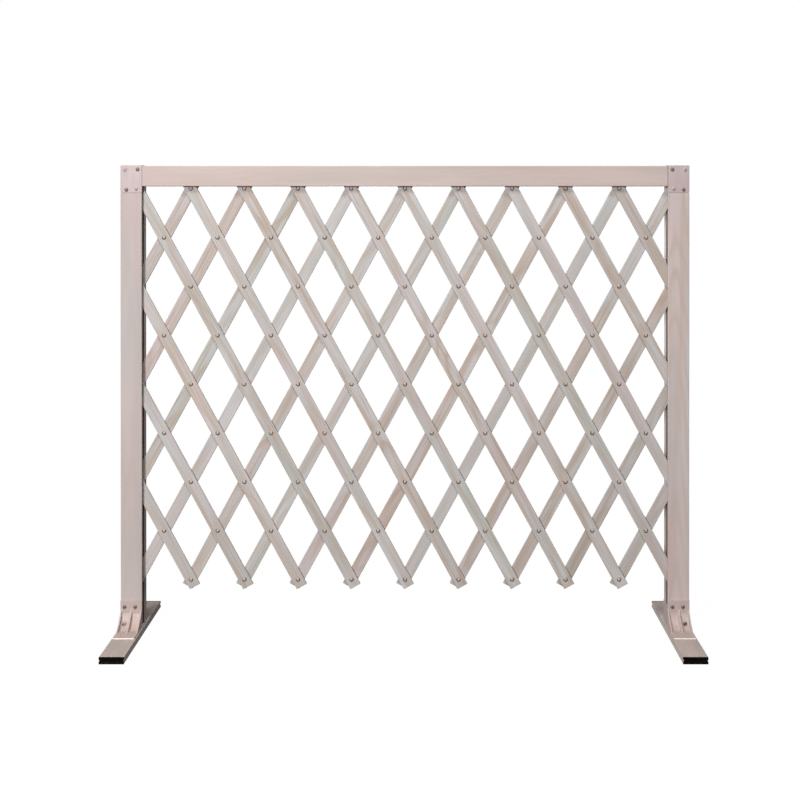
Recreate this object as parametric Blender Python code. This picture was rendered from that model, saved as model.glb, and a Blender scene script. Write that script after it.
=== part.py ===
"""Expandable lattice fence: a grooved wooden frame on two feet that holds a riveted scissor lattice.

Metres, +Z up, front towards -Y. The origin is on the floor, in the middle between the two feet.
"""

import math

import bmesh
import bpy
from mathutils import Vector

for item in list(bpy.data.objects):
    bpy.data.objects.remove(item, do_unlink=True)

# Clearances: between pieces that touch, beside the lattice in its grooves, and past the ends of its slats.
GAP = 0.0003
GROOVE_SIDE_ROOM = 0.0005
GROOVE_END_ROOM = 0.001

# Frame: two posts and a top rail of the same depth, all with a groove for the lattice.
FRAME_WIDTH = 1.200
FRAME_HEIGHT = 0.990
POST_WIDTH = 0.045
POST_DEPTH = 0.045
POST_SET_BACK = 0.020
FRONT_LIP = 0.007
RAIL_HEIGHT = 0.043
WOOD_EDGE = 0.0012
TONGUE_STEP = 0.001

# Lattice: columns and rows are counted in whole and half diamonds from rivet to rivet.
LATTICE_COLUMNS = 10
LATTICE_ROWS = 8
COLUMN_SEAT = 0.01167
SLAT_PITCH = 0.118
SLAT_WIDTH = 0.0245
SLAT_THICKNESS = 0.005
SLAT_OVERHANG = 0.017
SLAT_EDGE = 0.0007

# Rivets: a low head in front, a shank through both slats and a small tail behind.
RIVET_HEAD_RADIUS = 0.0044
RIVET_TOP_RADIUS = 0.0024
RIVET_HEAD_HEIGHT = 0.002
RIVET_SHANK_RADIUS = 0.002
RIVET_TAIL_RADIUS = 0.0036
RIVET_TAIL_HEIGHT = 0.0012
HEAD_SIDES = 8
SHANK_SIDES = 6

# Corner caps: thin sleeves over the tops of the posts, let in so that they lie flush with the wood.
CAP_WALL = 0.001
CAP_HEIGHT = 0.058
CAP_EDGE = 0.0005
CAP_SCREW_INSET = 0.0095
CAP_SCREW_STAGGER = 0.003
CAP_SCREW_DROP = 0.0085
CAP_SCREW_LIFT = 0.0066
CAP_SCREW_LENGTH = 0.036
LOCK_SCREW_LENGTH = 0.0065

# Feet: hollow notched profiles, closed by end caps with a plug.
FOOT_LENGTH = 0.360
FOOT_WIDTH = 0.050
FOOT_HEIGHT = 0.014
FOOT_WALL = 0.0025
FOOT_NOTCH = 0.002
FOOT_NOTCH_HALF = 0.002
END_CAP_WALL = 0.003
END_CAP_PLUG = 0.012
END_CAP_EDGE = 0.0005

# Post shoes: a base under the post and a plate in front of it, with a web and ribs that sweep down to a
# long toe. Heights are above the underside of the shoe.
SHOE_WALL = 0.0025
SHOE_HEIGHT = 0.058
SHOE_TAPER = (0.0014, 0.003)
SHOE_TOE = 0.0745
SHOE_RIB_SWEEP = (0.045, 0.036)
SHOE_WEB_SWEEP = (0.029, 0.025)
SHOE_SWEEP_HOLLOW = 1.2
SHOE_SWEEP_STEPS = 7
SHOE_EDGE_RIB = 0.003
SHOE_MIDDLE_RIB = 0.004
SHOE_CHEEK = 0.001
SHOE_CHEEK_HEIGHT = 0.047
SHOE_INSET = 0.0002
SHOE_SCREW_LEFT = -0.0137
SHOE_SCREW_RIGHT = 0.0087
SHOE_SCREW_HEIGHT = 0.0446
SHOE_SCREW_LENGTH = 0.0093
LOW_SCREW_OUT = 0.0115
LOW_SCREW_HEIGHT = 0.0121
LOW_SCREW_SEAT = 0.008

# Screws and bolts.
SCREW_HEAD_RADIUS = 0.004
SCREW_CROWN_RADIUS = 0.0024
SCREW_HEAD_HEIGHT = 0.0022
SCREW_RIM_HEIGHT = 0.0008
SCREW_SHANK_RADIUS = 0.002
SCREW_TIP = 0.003
SCREW_SIDES = 8
BOLT_HEAD_RADIUS = 0.006
BOLT_HEAD_HEIGHT = 0.004
BOLT_SHANK_RADIUS = 0.003
BOLT_LENGTH = 0.035
BOLT_ACCESS_ROOM = 0.0015
BOLT_SIDES = 12
HOLE_PAST_TIP = 0.001
JOIN_DEPTH = 0.001

# Places worked out from the sizes above.
INNER_WIDTH = FRAME_WIDTH - 2 * POST_WIDTH
POST_CENTRE = (FRAME_WIDTH - POST_WIDTH) / 2
POST_FRONT = POST_SET_BACK - POST_DEPTH / 2
POST_BACK = POST_FRONT + POST_DEPTH
SHOE_BOTTOM = FOOT_HEIGHT + GAP
POST_BOTTOM = SHOE_BOTTOM + SHOE_WALL + GAP
POST_TOP = FRAME_HEIGHT - CAP_WALL - GAP
RAIL_BOTTOM = POST_TOP - RAIL_HEIGHT
TOP_ROW = RAIL_BOTTOM - RIVET_HEAD_RADIUS - GAP

COLUMN_STEP = (INNER_WIDTH + 2 * COLUMN_SEAT) / LATTICE_COLUMNS
SLAT_ANGLE = math.asin(COLUMN_STEP / 2 / SLAT_PITCH)
ROW_STEP = SLAT_PITCH * math.cos(SLAT_ANGLE)
SLAT_REACH = SLAT_OVERHANG * math.sin(SLAT_ANGLE) + SLAT_WIDTH / 2 * math.cos(SLAT_ANGLE)
SLAT_RISE = SLAT_OVERHANG * math.cos(SLAT_ANGLE) + SLAT_WIDTH / 2 * math.sin(SLAT_ANGLE)

LATTICE_DEPTH = RIVET_HEAD_HEIGHT + 2 * SLAT_THICKNESS + 2 * GAP + RIVET_TAIL_HEIGHT
GROOVE_WIDTH = LATTICE_DEPTH + 2 * GROOVE_SIDE_ROOM
GROOVE_FRONT = POST_FRONT + FRONT_LIP
GROOVE_BACK = GROOVE_FRONT + GROOVE_WIDTH
POST_GROOVE_DEPTH = COLUMN_SEAT + SLAT_REACH + GROOVE_END_ROOM
RAIL_GROOVE_DEPTH = SLAT_RISE - RIVET_HEAD_RADIUS - GAP + GROOVE_END_ROOM
SLAT_PLANE = GROOVE_FRONT + GROOVE_SIDE_ROOM + RIVET_HEAD_HEIGHT + SLAT_THICKNESS + GAP / 2
PIN_X = COLUMN_STEP * LATTICE_COLUMNS / 2
SIDES = {"left": -1, "right": 1}


def finish(name, colour, roughness, metallic=0.0):
    """A plain Principled material."""
    made = bpy.data.materials.new(name)
    made.use_nodes = True
    shader = made.node_tree.nodes["Principled BSDF"]
    shader.inputs["Base Color"].default_value = (*colour, 1)
    shader.inputs["Roughness"].default_value = roughness
    shader.inputs["Metallic"].default_value = metallic
    return made


RIVET_STEEL = finish("rivet_steel", (0.22, 0.19, 0.17), 0.4, 1.0)


def add_object(name, body, material):
    """Turns a bmesh into an object with smooth round faces and its own material."""
    mesh = bpy.data.meshes.new(name)
    bmesh.ops.recalc_face_normals(body, faces=body.faces)
    body.to_mesh(mesh)
    body.free()
    mesh.materials.append(material)
    mesh.shade_smooth()
    mesh.set_sharp_from_angle(angle=math.radians(40))
    made = bpy.data.objects.new(name, mesh)
    bpy.context.collection.objects.link(made)
    return made


def add_prism(body, outline, axis, low, high):
    """Adds an outline extruded along one axis; its points are in the other two axes, in order."""
    across = [i for i in range(3) if i != axis]
    ring = []
    for point in outline:
        place = Vector((0, 0, 0))
        place[across[0]], place[across[1]], place[axis] = point[0], point[1], low
        ring.append(body.verts.new(place))
    grown = bmesh.ops.extrude_face_region(body, geom=[body.faces.new(ring)])
    step = Vector((0, 0, 0))
    step[axis] = high - low
    moved = [v for v in grown["geom"] if isinstance(v, bmesh.types.BMVert)]
    bmesh.ops.translate(body, verts=moved, vec=step)


def add_box(body, x, y, z):
    """Adds a box from three pairs of low and high."""
    corners = [(x[0], y[0]), (x[1], y[0]), (x[1], y[1]), (x[0], y[1])]
    add_prism(body, corners, 2, z[0], z[1])


def add_turned(body, profile, sides, place):
    """Adds a solid turned about the Y axis from (radius, y) points that start and end on the axis."""
    before = set(body.verts)
    points = [body.verts.new((radius, y, 0)) for radius, y in profile]
    edges = [body.edges.new(pair) for pair in zip(points, points[1:])]
    bmesh.ops.spin(
        body, geom=points + edges, axis=(0, 1, 0), cent=(0, 0, 0), angle=math.tau, steps=sides
    )
    fresh = [v for v in body.verts if v not in before]
    bmesh.ops.remove_doubles(body, verts=fresh, dist=1e-6)
    fresh = [v for v in body.verts if v not in before]
    bmesh.ops.translate(body, verts=fresh, vec=place)


def ring_points(centre, radius, sides):
    """Points of a regular polygon, for the outline of a round hole."""
    turns = [math.tau * i / sides for i in range(sides)]
    return [(centre[0] + radius * math.cos(t), centre[1] + radius * math.sin(t)) for t in turns]


def arc_points(centre, radius, start, end, steps):
    """Points along an arc, with angles in degrees."""
    turns = [math.radians(start + (end - start) * i / steps) for i in range(steps + 1)]
    return [(centre[0] + radius * math.cos(t), centre[1] + radius * math.sin(t)) for t in turns]


def clear_radius(radius, sides):
    """Corner radius of a polygonal hole whose flats clear a round shank of this radius."""
    return (radius + GAP) / math.cos(math.pi / sides)


def combine(target, name, body, operation, material=None):
    """Joins a bmesh to an object, or cuts it out, with a Boolean that keeps the tool as a hidden guide."""
    tool = add_object(name, body, material or target.data.materials[0])
    tool.parent = target
    tool.hide_render = True
    tool.display_type = "WIRE"
    joined = target.modifiers.new(name, "BOOLEAN")
    joined.operation = operation
    joined.solver = "EXACT"
    joined.material_mode = "TRANSFER"
    joined.object = tool


# Screws that go through the frame along Y. Each entry says where a screw is and how far it reaches.


def screw_entry(x, z, seat, length):
    """A screw whose head sits on the plane y = seat and whose shank runs back from it."""
    return {"x": x, "z": z, "seat": seat, "length": length}


def make_screw(name, entry):
    """A low domed head, a straight shank and a short point."""
    body = bmesh.new()
    profile = [
        (0, -SCREW_HEAD_HEIGHT),
        (SCREW_CROWN_RADIUS, -SCREW_HEAD_HEIGHT),
        (SCREW_HEAD_RADIUS, -SCREW_RIM_HEIGHT),
        (SCREW_HEAD_RADIUS, 0),
        (SCREW_SHANK_RADIUS, 0),
        (SCREW_SHANK_RADIUS, entry["length"] - SCREW_TIP),
        (0, entry["length"]),
    ]
    place = (entry["x"], entry["seat"] - GAP, entry["z"])
    add_turned(body, profile, SCREW_SIDES, place)
    return add_object(name, body, finish(name, (0.16, 0.12, 0.10), 0.45, 1.0))


def add_screw_holes(body, entries):
    """Adds the clearance holes of these screws, from in front of their seats to past their points."""
    radius = clear_radius(SCREW_SHANK_RADIUS, SCREW_SIDES)
    for entry in entries:
        outline = ring_points((entry["x"], entry["z"]), radius, SCREW_SIDES)
        end = entry["seat"] + entry["length"] + HOLE_PAST_TIP
        add_prism(body, outline, 1, entry["seat"] - HOLE_PAST_TIP, end)


def cap_screws(side):
    """Four screws of a corner cap. The upper inner one holds the rail's tongue. The lower inner one
    is the lattice's pin on the left, and a lock that stops short of the lattice on the right."""
    outer = side * (FRAME_WIDTH / 2 - CAP_SCREW_INSET)
    inner = side * PIN_X
    stagger = side * CAP_SCREW_STAGGER
    upper = FRAME_HEIGHT - CAP_SCREW_DROP
    lower = FRAME_HEIGHT - CAP_HEIGHT + CAP_SCREW_LIFT
    return [
        screw_entry(outer, upper, POST_FRONT, CAP_SCREW_LENGTH),
        screw_entry(inner - stagger, upper, POST_FRONT, CAP_SCREW_LENGTH),
        screw_entry(outer - stagger, lower, POST_FRONT, CAP_SCREW_LENGTH),
        screw_entry(inner, TOP_ROW, POST_FRONT, CAP_SCREW_LENGTH if side < 0 else LOCK_SCREW_LENGTH),
    ]


def shoe_screws(side):
    """Three screws from the front of a shoe into the post. The upper two are alike on both sides."""
    middle = side * POST_CENTRE
    seat = POST_FRONT - GAP - SHOE_WALL
    high = SHOE_BOTTOM + SHOE_SCREW_HEIGHT
    low = SHOE_BOTTOM + LOW_SCREW_HEIGHT
    low_seat = seat - LOW_SCREW_SEAT
    return [
        screw_entry(middle + SHOE_SCREW_LEFT, high, seat, SHOE_SCREW_LENGTH),
        screw_entry(middle + SHOE_SCREW_RIGHT, high, seat, SHOE_SCREW_LENGTH),
        screw_entry(middle + side * LOW_SCREW_OUT, low, low_seat, SHOE_SCREW_LENGTH + LOW_SCREW_SEAT),
    ]


# The foot bolt stands in the solid wood behind the groove.
BOLT_Y = (GROOVE_BACK + POST_BACK) / 2
BOLT_SEAT = FOOT_HEIGHT - FOOT_WALL - GAP


def make_bolt(name, side):
    """A bolt from inside the hollow foot, up through the shoe and into the end of the post."""
    body = bmesh.new()
    place = (side * POST_CENTRE, BOLT_Y)
    head = ring_points(place, BOLT_HEAD_RADIUS, BOLT_SIDES)
    add_prism(body, head, 2, BOLT_SEAT - BOLT_HEAD_HEIGHT, BOLT_SEAT)
    made = add_object(name, body, finish(name, (0.30, 0.29, 0.28), 0.4, 1.0))
    shank = bmesh.new()
    outline = ring_points(place, BOLT_SHANK_RADIUS, BOLT_SIDES)
    add_prism(shank, outline, 2, BOLT_SEAT - BOLT_HEAD_HEIGHT / 2, BOLT_SEAT + BOLT_LENGTH)
    combine(made, name + "_shank", shank, "UNION")
    return made


def add_bolt_hole(body, side, radius, low, high):
    """Adds an upright round hole around the foot bolt."""
    outline = ring_points((side * POST_CENTRE, BOLT_Y), radius, BOLT_SIDES)
    add_prism(body, outline, 2, low, high)


# Posts: solid wood with eased corners and a deep groove down the inner face. The top is cut back on the
# front, back and outer side, to let the corner cap in.


def post_outline(side, cut_back):
    """The section of a post, with three faces cut back."""
    wide, deep, edge = POST_WIDTH, POST_DEPTH - cut_back, WOOD_EDGE
    floor = wide - POST_GROOVE_DEPTH
    lip, rear = FRONT_LIP, FRONT_LIP + GROOVE_WIDTH
    near = cut_back
    from_outer_face = [
        (near + edge, near), (wide - edge, near), (wide, near + edge), (wide, lip), (floor, lip),
        (floor, rear), (wide, rear), (wide, deep - edge), (wide - edge, deep), (near + edge, deep),
        (near, deep - edge), (near, near + edge),
    ]
    return [(side * (FRAME_WIDTH / 2 - u), POST_FRONT + v) for u, v in from_outer_face]


def make_post(name, side):
    shoulder = FRAME_HEIGHT - CAP_HEIGHT - GAP
    body = bmesh.new()
    add_prism(body, post_outline(side, 0), 2, POST_BOTTOM, shoulder)
    post = add_object(name, body, finish(name, (0.56, 0.48, 0.45), 0.65))
    crown = bmesh.new()
    add_prism(crown, post_outline(side, CAP_WALL + GAP), 2, shoulder - JOIN_DEPTH, POST_TOP)
    combine(post, name + "_crown", crown, "UNION")
    holes = bmesh.new()
    add_screw_holes(holes, cap_screws(side) + shoe_screws(side))
    combine(post, name + "_screw_holes", holes, "DIFFERENCE")
    bore = bmesh.new()
    radius = clear_radius(BOLT_SHANK_RADIUS, BOLT_SIDES)
    add_bolt_hole(bore, side, radius, POST_BOTTOM - GAP, BOLT_SEAT + BOLT_LENGTH + HOLE_PAST_TIP)
    combine(post, name + "_bolt_hole", bore, "DIFFERENCE")


# Top rail: the same groove along its underside, and a tongue at each end that fills the post's groove.


def make_rail(name):
    deep, high, edge = POST_DEPTH, RAIL_HEIGHT, WOOD_EDGE
    lip, ceiling = FRONT_LIP, RAIL_GROOVE_DEPTH
    rear = lip + GROOVE_WIDTH
    section = [
        (edge, 0), (lip, 0), (lip, ceiling), (rear, ceiling), (rear, 0), (deep - edge, 0),
        (deep, edge), (deep, high - edge), (deep - edge, high), (edge, high), (0, high - edge),
        (0, edge),
    ]
    outline = [(POST_FRONT + v, RAIL_BOTTOM + w) for v, w in section]
    shoulder = INNER_WIDTH / 2 - GAP
    body = bmesh.new()
    add_prism(body, outline, 0, -shoulder, shoulder)
    rail = add_object(name, body, finish(name, (0.58, 0.50, 0.46), 0.65))
    tongues, holes = bmesh.new(), bmesh.new()
    for side in SIDES.values():
        root = side * (shoulder - TONGUE_STEP * 4)
        tip = side * (INNER_WIDTH / 2 + POST_GROOVE_DEPTH - GAP)
        add_box(
            tongues,
            (min(root, tip), max(root, tip)),
            (GROOVE_FRONT + GAP, GROOVE_BACK - GAP),
            (RAIL_BOTTOM + RAIL_GROOVE_DEPTH + TONGUE_STEP, POST_TOP - TONGUE_STEP),
        )
        add_screw_holes(holes, [cap_screws(side)[1]])
    combine(rail, name + "_tongues", tongues, "UNION")
    combine(rail, name + "_screw_holes", holes, "DIFFERENCE")


# Corner caps: folded sleeves that cover the front, back, outer side and top of a post.


def make_corner_cap(name, side):
    inner = side * (FRAME_WIDTH / 2 - POST_WIDTH)
    outer = side * FRAME_WIDTH / 2
    bottom = FRAME_HEIGHT - CAP_HEIGHT
    wide, deep = sorted((inner, outer)), (POST_FRONT, POST_BACK)
    body = bmesh.new()
    add_box(body, wide, deep, (bottom, FRAME_HEIGHT))
    cap = add_object(name, body, finish(name, (0.60, 0.51, 0.50), 0.45, 0.2))
    eased = cap.modifiers.new("folded_edges", "BEVEL")
    eased.width = CAP_EDGE
    eased.segments = 1
    room = bmesh.new()
    wide = sorted((inner - side * POST_WIDTH, outer - side * CAP_WALL))
    deep = (POST_FRONT + CAP_WALL, POST_BACK - CAP_WALL)
    add_box(room, wide, deep, (bottom - CAP_WALL, FRAME_HEIGHT - CAP_WALL))
    combine(cap, name + "_room", room, "DIFFERENCE")
    holes = bmesh.new()
    radius = clear_radius(SCREW_SHANK_RADIUS, SCREW_SIDES)
    for entry in cap_screws(side):
        outline = ring_points((entry["x"], entry["z"]), radius, SCREW_SIDES)
        add_prism(holes, outline, 1, POST_FRONT - CAP_WALL, POST_FRONT + 2 * CAP_WALL)
    combine(cap, name + "_screw_holes", holes, "DIFFERENCE")


# Feet: a notched hollow profile with a top hole for the bolt and an access hole underneath.


def foot_outline(side):
    half, high = FOOT_WIDTH / 2, FOOT_HEIGHT
    low, top = high / 2 - FOOT_NOTCH_HALF, high / 2 + FOOT_NOTCH_HALF
    right = [(half, 0), (half, low), (half - FOOT_NOTCH, high / 2), (half, top), (half, high)]
    left = [(-x, z) for x, z in reversed(right)]
    return [(side * POST_CENTRE + x, z) for x, z in right + left]


def chamber(side, room):
    """The inside of the profile, drawn in by room on every side, as x and z ranges."""
    half = FOOT_WIDTH / 2 - FOOT_NOTCH - FOOT_WALL - room
    middle = side * POST_CENTRE
    return (middle - half, middle + half), (FOOT_WALL + room, FOOT_HEIGHT - FOOT_WALL - room)


def make_foot(name, side):
    end = FOOT_LENGTH / 2 - END_CAP_WALL - GAP
    body = bmesh.new()
    add_prism(body, foot_outline(side), 1, -end, end)
    foot = add_object(name, body, finish(name, (0.50, 0.42, 0.39), 0.6))
    hollow = bmesh.new()
    wide, high = chamber(side, 0)
    add_box(hollow, wide, (-FOOT_LENGTH, FOOT_LENGTH), high)
    combine(foot, name + "_hollow", hollow, "DIFFERENCE")
    holes = bmesh.new()
    radius = clear_radius(BOLT_SHANK_RADIUS, BOLT_SIDES)
    middle = FOOT_HEIGHT / 2
    add_bolt_hole(holes, side, radius, middle + GAP, FOOT_HEIGHT + GAP)
    add_bolt_hole(holes, side, BOLT_HEAD_RADIUS + BOLT_ACCESS_ROOM, -GAP, middle - GAP)
    combine(foot, name + "_bolt_holes", holes, "DIFFERENCE")


def make_end_cap(name, side, direction):
    face = direction * FOOT_LENGTH / 2
    seat = face - direction * END_CAP_WALL
    body = bmesh.new()
    add_prism(body, foot_outline(side), 1, min(face, seat), max(face, seat))
    cap = add_object(name, body, finish(name, (0.012, 0.011, 0.011), 0.45))
    eased = cap.modifiers.new("eased_edges", "BEVEL")
    eased.width = END_CAP_EDGE
    eased.segments = 1
    eased.limit_method = "ANGLE"
    plug = bmesh.new()
    wide, high = chamber(side, GAP)
    tip = seat - direction * END_CAP_PLUG
    root = seat + direction * END_CAP_WALL / 2
    add_box(plug, wide, (min(root, tip), max(root, tip)), high)
    combine(cap, name + "_plug", plug, "UNION")


# Post shoes: one moulding each. The base lies under the post and the plate stands in front of it. A web
# and three ribs sweep down from the plate to the toe. The right shoe has a cheek that closes the end of the
# groove; the left one has none, because the lattice slides down that groove as it folds.


def sweep_points(front, floor, size):
    """A hollow curve from the plate down to the toe, as (y, z) points. Its size is reach and rise."""
    points = []
    for i in range(SHOE_SWEEP_STEPS + 1):
        part = i / SHOE_SWEEP_STEPS
        out = size[0] * part ** SHOE_SWEEP_HOLLOW
        up = size[1] * (1 - part) ** SHOE_SWEEP_HOLLOW
        points.append((front - out, floor + up))
    return points


def make_shoe(name, side):
    middle = side * POST_CENTRE
    left, right = middle - POST_WIDTH / 2, middle + POST_WIDTH / 2
    if side > 0:
        left -= GAP + SHOE_CHEEK
    front = POST_FRONT - GAP - SHOE_WALL
    floor = SHOE_BOTTOM + SHOE_WALL
    top = SHOE_BOTTOM + SHOE_HEIGHT
    toe = POST_FRONT - SHOE_TOE
    outline = [
        (toe, SHOE_BOTTOM), (POST_BACK, SHOE_BOTTOM), (POST_BACK, floor), (front + SHOE_WALL, floor),
        (front + SHOE_WALL, top), (front + SHOE_TAPER[0], top), (front, top - SHOE_TAPER[1]),
        *sweep_points(front, floor, SHOE_WEB_SWEEP), (toe, floor),
    ]
    body = bmesh.new()
    add_prism(body, outline, 0, left, right)
    shoe = add_object(name, body, finish(name, (0.52, 0.44, 0.41), 0.5))

    walls = bmesh.new()
    inset, root = SHOE_INSET, JOIN_DEPTH
    reach, rise = SHOE_RIB_SWEEP
    rib = sweep_points(front, floor, SHOE_RIB_SWEEP)
    rib += [(front - reach, floor - root), (front + root, floor - root), (front + root, floor + rise)]
    add_prism(walls, rib, 0, left + inset, left + inset + SHOE_EDGE_RIB)
    add_prism(walls, rib, 0, right - inset - SHOE_EDGE_RIB, right - inset)
    add_prism(walls, rib, 0, middle - SHOE_MIDDLE_RIB / 2, middle + SHOE_MIDDLE_RIB / 2)
    if side > 0:
        add_box(
            walls,
            (left + inset, left + SHOE_CHEEK),
            (front + SHOE_WALL - root / 2, POST_BACK - inset),
            (floor - root, SHOE_BOTTOM + SHOE_CHEEK_HEIGHT),
        )
    combine(shoe, name + "_walls", walls, "UNION")

    screws = shoe_screws(side)
    low = screws[-1]
    seat = bmesh.new()
    radius = clear_radius(SCREW_HEAD_RADIUS, SCREW_SIDES)
    add_prism(seat, ring_points((low["x"], low["z"]), radius, SCREW_SIDES), 1, toe, low["seat"])
    combine(shoe, name + "_low_screw_seat", seat, "DIFFERENCE")

    holes = bmesh.new()
    radius = clear_radius(SCREW_SHANK_RADIUS, SCREW_SIDES)
    for entry in screws:
        outline = ring_points((entry["x"], entry["z"]), radius, SCREW_SIDES)
        add_prism(holes, outline, 1, entry["seat"] - GAP, front + SHOE_WALL + GAP)
    bolt = clear_radius(BOLT_SHANK_RADIUS, BOLT_SIDES)
    add_bolt_hole(holes, side, bolt, SHOE_BOTTOM - GAP, floor + GAP)
    combine(shoe, name + "_holes", holes, "DIFFERENCE")


# Lattice. Front slats fall to the right and back slats to the left. A front slat is numbered by the
# column where it meets the top row, a back slat likewise, and the two cross at row back - front.
# Every slat turns about the rivet that carries it, and its origin is on that rivet.

MIDDLE_ROW = LATTICE_ROWS // 2
CARRIER = LATTICE_COLUMNS - MIDDLE_ROW
FRONT_SLATS = range(1 - MIDDLE_ROW, LATTICE_COLUMNS)
BACK_SLATS = range(1, LATTICE_COLUMNS + MIDDLE_ROW)
LATTICE = bpy.data.objects.new("lattice", None)
LATTICE.location = (-PIN_X, SLAT_PLANE, TOP_ROW)
bpy.context.collection.objects.link(LATTICE)


def front_rows(slat):
    """Rows that a front slat reaches between the end columns."""
    last = min(LATTICE_ROWS, 2 * (LATTICE_COLUMNS - slat))
    return range(max(0, -2 * slat), last + 1)


def back_rows(slat):
    """Rows that a back slat reaches between the end columns."""
    first = max(0, 2 * (slat - LATTICE_COLUMNS))
    return range(first, min(LATTICE_ROWS, 2 * slat) + 1)


def front_hinge_row(slat):
    """The row of the rivet that carries a front slat; slat 0 hangs on the pin in the corner."""
    if slat == 0:
        return 0
    if slat < 0:
        return MIDDLE_ROW - slat
    if slat <= MIDDLE_ROW:
        return MIDDLE_ROW
    if slat <= CARRIER:
        return LATTICE_ROWS - slat
    return LATTICE_COLUMNS - slat


def back_hinge_row(slat):
    """The row of the rivet that carries a back slat, on front slat 0 or on the last long front slat."""
    return slat if slat <= LATTICE_ROWS else slat - CARRIER


def place_slat(made, column, row, lean):
    """Puts a slat's origin on its rivet and leans it to its side of the upright."""
    made.parent = LATTICE
    made.location = (column * COLUMN_STEP, 0, -row * ROW_STEP)
    made.rotation_euler = (0, lean * SLAT_ANGLE, 0)


def add_plank(rows, hinge, low, high, name, colour):
    """A straight slat with eased long edges, along Z past its end rivets."""
    half, edge = SLAT_WIDTH / 2, SLAT_EDGE
    outline = [
        (half, low + edge), (half, high - edge), (half - edge, high), (edge - half, high),
        (-half, high - edge), (-half, low + edge), (edge - half, low), (half - edge, low),
    ]
    body = bmesh.new()
    bottom = (hinge - rows[-1]) * SLAT_PITCH - SLAT_OVERHANG
    top = (hinge - rows[0]) * SLAT_PITCH + SLAT_OVERHANG
    add_prism(body, outline, 2, bottom, top)
    return add_object(name, body, finish(name, colour, 0.7))


def add_rivet_holes(body, rows, hinge, low, high):
    """Adds clearance holes for rivets in the given rows."""
    radius = clear_radius(RIVET_SHANK_RADIUS, SHANK_SIDES)
    for row in rows:
        outline = ring_points((0, (hinge - row) * SLAT_PITCH), radius, SHANK_SIDES)
        add_prism(body, outline, 1, low - GAP, high + GAP)


def make_front_slat(name, slat):
    """A slat of the front layer, with the rivets that join it to the slats behind it."""
    rows, hinge = front_rows(slat), front_hinge_row(slat)
    back_face = -GAP / 2
    front_face = back_face - SLAT_THICKNESS
    made = add_plank(rows, hinge, front_face, back_face, name, (0.53, 0.45, 0.41))
    crossed = [row for row in rows if slat + row in BACK_SLATS]
    spread = (RIVET_HEAD_RADIUS - RIVET_TOP_RADIUS) * JOIN_DEPTH / RIVET_HEAD_HEIGHT
    head = [
        (0, front_face - RIVET_HEAD_HEIGHT),
        (RIVET_TOP_RADIUS, front_face - RIVET_HEAD_HEIGHT),
        (RIVET_HEAD_RADIUS + spread, front_face + JOIN_DEPTH),
        (0, front_face + JOIN_DEPTH),
    ]
    tail_front = GAP / 2 + SLAT_THICKNESS + GAP
    stem = [
        (0, back_face - JOIN_DEPTH),
        (RIVET_SHANK_RADIUS, back_face - JOIN_DEPTH),
        (RIVET_SHANK_RADIUS, tail_front),
        (RIVET_TAIL_RADIUS, tail_front),
        (0, tail_front + RIVET_TAIL_HEIGHT),
    ]
    heads, stems = bmesh.new(), bmesh.new()
    for row in crossed:
        place = (0, 0, (hinge - row) * SLAT_PITCH)
        add_turned(heads, head, HEAD_SIDES, place)
        add_turned(stems, stem, SHANK_SIDES, place)
    combine(made, name + "_rivet_heads", heads, "UNION", RIVET_STEEL)
    combine(made, name + "_rivet_stems", stems, "UNION", RIVET_STEEL)
    plain = [row for row in rows if row not in crossed]
    if plain:
        holes = bmesh.new()
        add_rivet_holes(holes, plain, hinge, front_face, back_face)
        combine(made, name + "_corner_hole", holes, "DIFFERENCE")
    place_slat(made, slat + hinge / 2, hinge, -1)


def make_back_slat(name, slat):
    """A slat of the back layer, with a clearance hole for each rivet."""
    rows, hinge = back_rows(slat), back_hinge_row(slat)
    low, high = GAP / 2, GAP / 2 + SLAT_THICKNESS
    made = add_plank(rows, hinge, low, high, name, (0.49, 0.43, 0.39))
    holes = bmesh.new()
    add_rivet_holes(holes, rows, hinge, low, high)
    combine(made, name + "_rivet_holes", holes, "DIFFERENCE")
    place_slat(made, slat - hinge / 2, hinge, 1)


for word, side in SIDES.items():
    make_post(word + "_post", side)
    make_corner_cap(word + "_corner_cap", side)
    make_foot(word + "_foot", side)
    make_end_cap(word + "_foot_front_cap", side, -1)
    make_end_cap(word + "_foot_back_cap", side, 1)
    make_shoe(word + "_shoe", side)
    make_bolt(word + "_foot_bolt", side)
    for number, entry in enumerate(cap_screws(side), 1):
        make_screw(word + "_cap_screw_" + str(number), entry)
    for number, entry in enumerate(shoe_screws(side), 1):
        make_screw(word + "_shoe_screw_" + str(number), entry)
make_rail("top_rail")
for number, slat in enumerate(FRONT_SLATS, 1):
    make_front_slat("front_slat_" + str(number).zfill(2), slat)
for number, slat in enumerate(BACK_SLATS, 1):
    make_back_slat("back_slat_" + str(number).zfill(2), slat)
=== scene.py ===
import math
import random

import bmesh
import bpy
from mathutils import Euler, Matrix, Vector


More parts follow.
